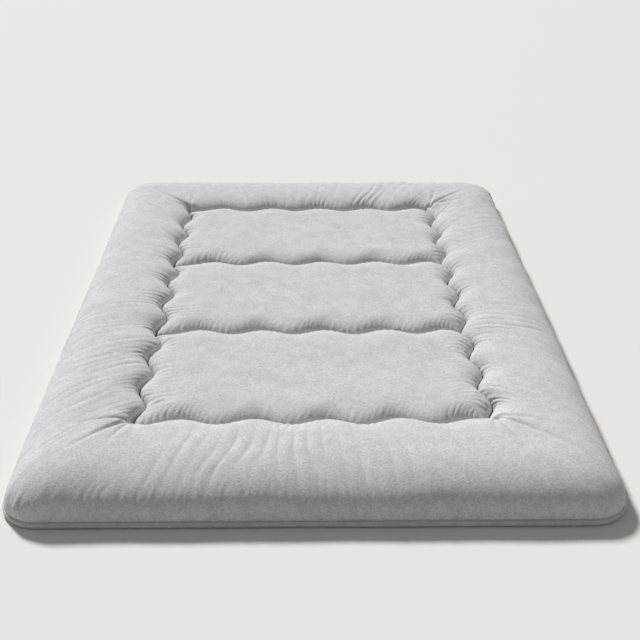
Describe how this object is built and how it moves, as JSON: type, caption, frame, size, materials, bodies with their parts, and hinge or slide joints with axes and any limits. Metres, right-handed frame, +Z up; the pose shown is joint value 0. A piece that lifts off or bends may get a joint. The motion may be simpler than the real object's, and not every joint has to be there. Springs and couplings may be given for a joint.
{
  "type": "futon mattress",
  "caption": "Quilted floor futon mattress with a plump border roll, crowned inner panels and piped lower edge, folding flat on itself in three.",
  "frame": {"origin": "centre of the rectangle that the mattress covers, on the floor plane", "axes": "+X to the right, +Y from the foot end to the head end, +Z up"},
  "size_m": [1.35, 2, 0.1],
  "materials": {
    "top_fabric": "brushed microfibre, matt with a faint peach-skin sheen",
    "bottom_fabric": "plain woven polyester, matt",
    "piping_fabric": "bias-cut brushed microfibre, matt",
    "fibre_fill": "loose polyester fibre",
    "core_felt": "firm heat-bonded polyester felt",
    "backing_fabric": "thin nonwoven",
    "piping_cord": "soft twisted cotton cord",
    "quilting_thread": "spun polyester thread"
  },
  "bodies": {
    "head": {"bottom_cover_head": "bottom_fabric", "core_head": "core_felt", "quilt_backing_head": "backing_fabric", "panel_fill_head": "fibre_fill", "panel_cover_head": "top_fabric", "border_fill_head_end": "fibre_fill", "border_fill_head_left": "fibre_fill", "border_fill_head_right": "fibre_fill", "border_cover_head": "top_fabric", "piping_cover_head": "piping_fabric", "piping_cord_head": "piping_cord", "frame_thread_head": "quilting_thread", "cross_thread_head": "quilting_thread"},
    "middle": {"bottom_cover_middle": "bottom_fabric", "core_middle": "core_felt", "quilt_backing_middle": "backing_fabric", "panel_fill_middle": "fibre_fill", "panel_cover_middle": "top_fabric", "border_fill_middle_left": "fibre_fill", "border_fill_middle_right": "fibre_fill", "border_cover_middle": "top_fabric", "piping_cover_middle": "piping_fabric", "piping_cord_middle": "piping_cord", "frame_thread_middle": "quilting_thread"},
    "foot": {"bottom_cover_foot": "bottom_fabric", "core_foot": "core_felt", "quilt_backing_foot": "backing_fabric", "panel_fill_foot": "fibre_fill", "panel_cover_foot": "top_fabric", "border_fill_foot_end": "fibre_fill", "border_fill_foot_left": "fibre_fill", "border_fill_foot_right": "fibre_fill", "border_cover_foot": "top_fabric", "piping_cover_foot": "piping_fabric", "piping_cord_foot": "piping_cord", "frame_thread_foot": "quilting_thread", "cross_thread_foot": "quilting_thread"}
  },
  "joints": [
    {"name": "upper_fold", "type": "hinge", "parent": "head", "child": "middle", "pos_m": [0, 0.23, 0.1005], "axis": [-1, 0, 0], "range_deg": [0, 178]},
    {"name": "lower_fold", "type": "hinge", "parent": "middle", "child": "foot", "pos_m": [0, -0.23, -0.00025], "axis": [1, 0, 0], "range_deg": [0, 178]}
  ],
  "couplings": [
    {"joint": "lower_fold", "follows": "upper_fold", "ratio": 1}
  ]
}
